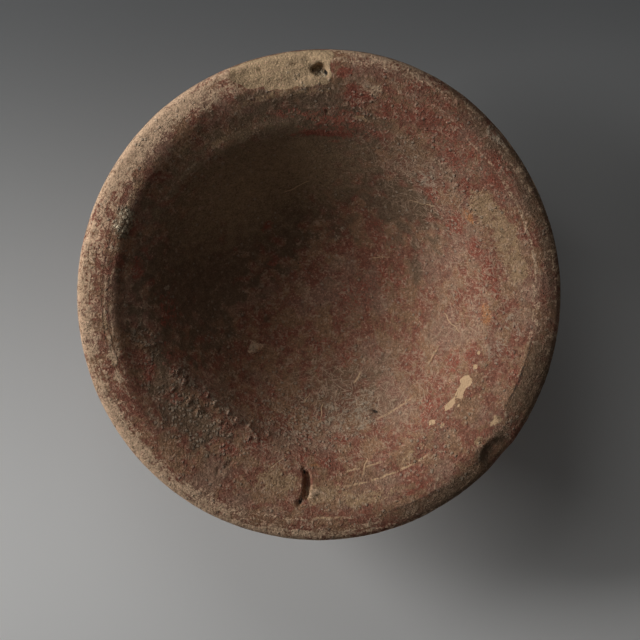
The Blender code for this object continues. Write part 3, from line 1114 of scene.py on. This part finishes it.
def clay_grain(paint):
    """The noises, cells and small marks that the clay's colours and relief are mixed from, by name."""
    other_side = paint.scaled(paint.place, -1.0)
    tone, distance = paint.cells(GRAIN_SIZE, paint.shaken(GRAIN_SIZE, GRAIN_SIZE / 2))
    crumb_tone, crumb_distance = paint.cells(CRUMB_SIZE, paint.shaken(CRUMB_SIZE, CRUMB_SIZE / 3))
    circles, radius = paint.circling(*STROKE_SIZE)
    middle = paint.cloud(*MIDDLE_NOISE)
    crumb = paint.rise(crumb_distance, *CRUMB_BODY)
    crumb_share = paint.grown(paint.mask("crumbs"), *CRUMB_SHARE)
    crystal = paint.rise(crumb_distance, *CRYSTAL_BODY)
    flecks = paint.times(curly_flecks(paint), paint.minus(1.0, paint.mask("bare")))
    grain = {
        "tone": tone,
        "body": paint.rise(distance, *GRAIN_BODY),
        "fine": paint.cloud(*FINE_NOISE),
        "other": paint.cloud(*OTHER_NOISE, other_side),
        "middle": middle,
        "broad": paint.cloud(*BROAD_NOISE),
        "wide": paint.cloud(*WIDE_NOISE, other_side),
        "strokes": paint.cloud(*STROKE_NOISE, circles),
        "radius": radius,
        "ragged": paint.plus(paint.swing(middle, RAGGED_BY_MIDDLE), paint.swing(tone, RAGGED_BY_TONE)),
        "flecks": paint.times(flecks, paint.rise(middle, *FLECKS_SHOW)),
        "fibres": paint.times(fibre_layers(paint), paint.grown(paint.mask("fibres"), *FIBRE_SHARE)),
        "crumbs": paint.times(crumb, paint.rise(paint.minus(crumb_share, crumb_tone), *CRUMBS_SHOW)),
        "crystal": paint.times(crystal, paint.grown(crumb_tone, *CRYSTAL_SHARE)),
        "pores": paint.specks(*PORES),
    }
    grain["crust"] = shows(paint, grain, "crust")
    grain["crusted"] = paint.times(crumb, grain["crust"])
    grain["gritty"] = paint.times(grain["other"], paint.mask("bare"))
    return grain


def slip_colour(paint, grain):
    """The slip with its soil, which also paints shade on the shaded walls, and the clay where it is bare, in
    the light and dark of the grain.
    """
    layers = [
        (BROWN, paint.rise(grain["broad"], *BROWN_SHOWS)),
        (MAUVE, paint.times(paint.rise(grain["wide"], *MAUVE_SHOWS), MAUVE_COVER)),
        # Soil colour, also painted shade on the shaded left and upper walls
        (SOIL_AND_SHADE, shows(paint, grain, "soil_and_shade")),
        (OLIVE, paint.mask("olive")),
    ]
    layers += [(colour, shows(paint, grain, name)) for name, colour in SLIP_LAYERS]
    brightness = paint.plus(paint.sum_of(grain, BRIGHTNESS), BRIGHTNESS_LEVEL)
    return paint.scaled(paint.layered(SLIP, layers), brightness)


def specks_and_crust(paint, grain):
    """Layers of specks, flecks, lime, fibres, turning strokes, crumbs and crust."""
    free = paint.rise(paint.mask("soil_and_shade"), *FREE_OF_SOIL_AND_SHADE)
    dark = paint.times(paint.rise(grain["other"], *DARK_SHOWS), paint.grown(free, *DARK_SHARE))
    pale = paint.times(grain["body"], paint.grown(free, *PALE_SHARE))
    pale = paint.times(paint.result("GREATER_THAN", grain["tone"], PALE_TONE), pale)
    turned = paint.rise(grain["radius"], *TURNED_RADII)
    turned = paint.times(paint.rise(grain["strokes"], *STROKES_SHOW), turned)
    return [
        (DARK_SPECK, paint.times(dark, paint.minus(1.0, paint.mask("bare")))),
        (FIBRE, paint.times(grain["flecks"], paint.grown(free, *FLECK_SHARE))),
        (PALE_SPECK, paint.times(pale, paint.rise(grain["middle"], *PALE_SHOWS))),
        (LIME, shows(paint, grain, "lime")),
        (FIBRE, paint.times(grain["fibres"], FIBRE_COVER)),
        (PALE_SPECK, paint.times(turned, paint.times(grain["body"], STROKE_COVER))),
        (LIME, paint.times(grain["crumbs"], CRUMB_COVER)),
        (paint.blend(SOIL_AND_SHADE, CRUST_GRAIN, grain["crystal"]), paint.times(grain["crust"], CRUST_COVER)),
    ]


def marks(paint, grain):
    """Layers of turning lines, scratches, flaked places, white specks, pores, and dirt with painted shade in
    the pits.
    """
    uneven = paint.plus(grain["radius"], paint.swing(grain["middle"], RING_LINE_WANDER))
    breaks = paint.rise(grain["middle"], *LINES_SHOW)
    layers = []
    for lines, colour in ((PALE_RING_LINES, CREAM), (DARK_RING_LINES, DIRT_AND_SHADE)):
        for *place, strength in lines:
            line = paint.times(paint.ring_line(uneven, *place), breaks)
            layers.append((colour, paint.times(line, strength)))
    for angle0, radius0, angle1, radius1, half_width in SCRATCHES:
        line = paint.scratch(polar(angle0, radius0), polar(angle1, radius1), half_width)
        layers.append((CREAM, paint.times(line, SCRATCH_COVER)))
    return layers + [
        (CREAM, shows(paint, grain, "cream")),
        (LIME, paint.specks(*WHITE_SPECKS)),
        (DIRT_AND_SHADE, paint.times(grain["pores"], PORE_COVER)),
        # Dirt and painted shade in the gouge and the pits
        (DIRT_AND_SHADE, shows(paint, grain, "pit_shade_and_dirt")),
    ]


def clay_material():
    """Worn red-brown slip over tan clay, with soil, lime, scratches and pits."""
    material = bpy.data.materials.new("worn_slip")
    paint = Painter(material)
    grain = clay_grain(paint)
    layers = specks_and_crust(paint, grain) + marks(paint, grain)
    colour = paint.layered(slip_colour(paint, grain), layers)
    paint.feed(paint.shader.inputs["Base Color"], colour)
    paint.feed(paint.shader.inputs["Roughness"], paint.grown(grain["middle"], *ROUGHNESS))
    paint.shader.inputs["Specular IOR Level"].default_value = SPECULAR
    bump = paint.nodes.new("ShaderNodeBump")
    bump.inputs["Distance"].default_value = METRES
    bump.inputs["Strength"].default_value = 1.0
    paint.feed(bump.inputs["Height"], paint.sum_of(grain, FINEST_RELIEF))
    paint.feed(paint.shader.inputs["Normal"], bump.outputs["Normal"])
    return material


def floor_material():
    """Pale paper with painted shade, deeper towards its far side."""
    material = bpy.data.materials.new("floor_paper_with_painted_shade")
    paint = Painter(material)
    # Painted shade: the paper's colour darkens towards the far side
    share = paint.rise(paint.flat(paint.place, (0.0, 1.0, 0.0)), -FLOOR_SHADE_FADE, FLOOR_SHADE_FADE)
    paint.feed(paint.shader.inputs["Base Color"], paint.blend(FLOOR_PALE, FLOOR_PAINTED_SHADE, share))
    paint.shader.inputs["Roughness"].default_value = FLOOR_ROUGHNESS
    return material


def make_floor():
    bpy.ops.mesh.primitive_plane_add(size=FLOOR_SIZE, location=(0.0, 0.0, -FLOOR_DROP))
    floor = bpy.context.object
    floor.name = "floor"
    floor.data.materials.append(floor_material())


def aim(thing, place, target, up):
    back = (place - target).normalized()
    right = up.cross(back).normalized()
    axes = Matrix((right, back.cross(right), back)).transposed()
    thing.matrix_world = Matrix.Translation(place) @ axes.to_4x4()


def make_camera():
    tilt = math.radians(CAMERA_TILT)
    data = bpy.data.cameras.new("camera")
    data.lens = CAMERA_LENS
    data.sensor_width = SENSOR_WIDTH
    camera = bpy.data.objects.new("camera", data)
    bpy.context.scene.collection.objects.link(camera)
    place = MIDDLE + CAMERA_DISTANCE * Vector((0.0, math.sin(tilt), math.cos(tilt)))
    aim(camera, place, MIDDLE, Vector((0.0, 1.0, 0.0)))
    bpy.context.scene.camera = camera


def area_light(name, angle, elevation, distance, size, power):
    data = bpy.data.lights.new(name, "AREA")
    data.shape = "DISK"
    data.size = size
    data.energy = power
    light = bpy.data.objects.new(name, data)
    bpy.context.scene.collection.objects.link(light)
    turn, rise = math.radians(angle), math.radians(elevation)
    place = MIDDLE + distance * Vector(
        (math.cos(turn) * math.cos(rise), math.sin(turn) * math.cos(rise), math.sin(rise))
    )
    aim(light, place, MIDDLE, Vector((0.0, 0.0, 1.0)))


def make_studio():
    make_floor()
    make_camera()
    area_light("key", **KEY_LIGHT)
    area_light("upper_fill", **UPPER_FILL)
    area_light("lower_fill", **LOWER_FILL)
    world = bpy.data.worlds.new("studio")
    world.use_nodes = True
    background = world.node_tree.nodes["Background"]
    background.inputs["Color"].default_value = WORLD_COLOUR
    background.inputs["Strength"].default_value = WORLD_STRENGTH
    bpy.context.scene.world = world
    bpy.context.scene.view_settings.view_transform = "Standard"


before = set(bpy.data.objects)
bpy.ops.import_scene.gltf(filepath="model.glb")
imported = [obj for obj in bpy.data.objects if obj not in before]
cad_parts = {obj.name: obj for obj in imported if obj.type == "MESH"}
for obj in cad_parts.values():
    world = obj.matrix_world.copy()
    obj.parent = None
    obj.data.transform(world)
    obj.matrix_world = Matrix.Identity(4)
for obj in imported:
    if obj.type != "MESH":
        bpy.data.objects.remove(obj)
cad_box = [list(corner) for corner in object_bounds()]
bowl = make_bowl(cad_box)
bowl.data.materials.append(clay_material())
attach(bowl, "root")
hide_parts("bowl")
make_studio()
